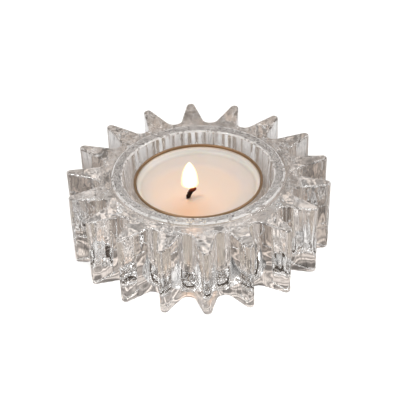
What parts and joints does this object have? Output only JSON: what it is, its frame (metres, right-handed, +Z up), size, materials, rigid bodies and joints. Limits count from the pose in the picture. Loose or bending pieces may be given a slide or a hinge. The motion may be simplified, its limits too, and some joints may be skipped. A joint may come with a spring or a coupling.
{
  "type": "tealight holder",
  "caption": "Low pressed-glass tealight holder with a sunburst outline of pointed rays round a collared well, holding a lit tealight in its metal cup.",
  "frame": {"origin": "middle of the glass holder's foot, on the surface it stands on", "axes": "+Z up along the axis of the well; +X through the middle of one ray"},
  "size_m": [0.08, 0.0788, 0.0246],
  "materials": {
    "glass": "clear pressed glass, fire polished",
    "cup_metal": "thin drawn sheet, satin",
    "wax": "translucent paraffin wax, warm from the flame",
    "wick_cotton": "braided cotton, charred above the wax",
    "tinned_disc": "thin tinned sheet, bright"
  },
  "bodies": {
    "holder": {"glass_holder": "glass"},
    "cup": {"tealight_cup": "cup_metal"},
    "candle": {"wax": "wax", "wick": "wick_cotton", "wick_sustainer": "tinned_disc"}
  },
  "joints": [
    {"name": "tealight_lift", "type": "slide", "parent": "holder", "child": "cup", "axis": [0, 0, 1], "range_m": [0, 0.03]},
    {"name": "candle_lift", "type": "slide", "parent": "cup", "child": "candle", "axis": [0, 0, 1], "range_m": [0, 0.022]}
  ]
}
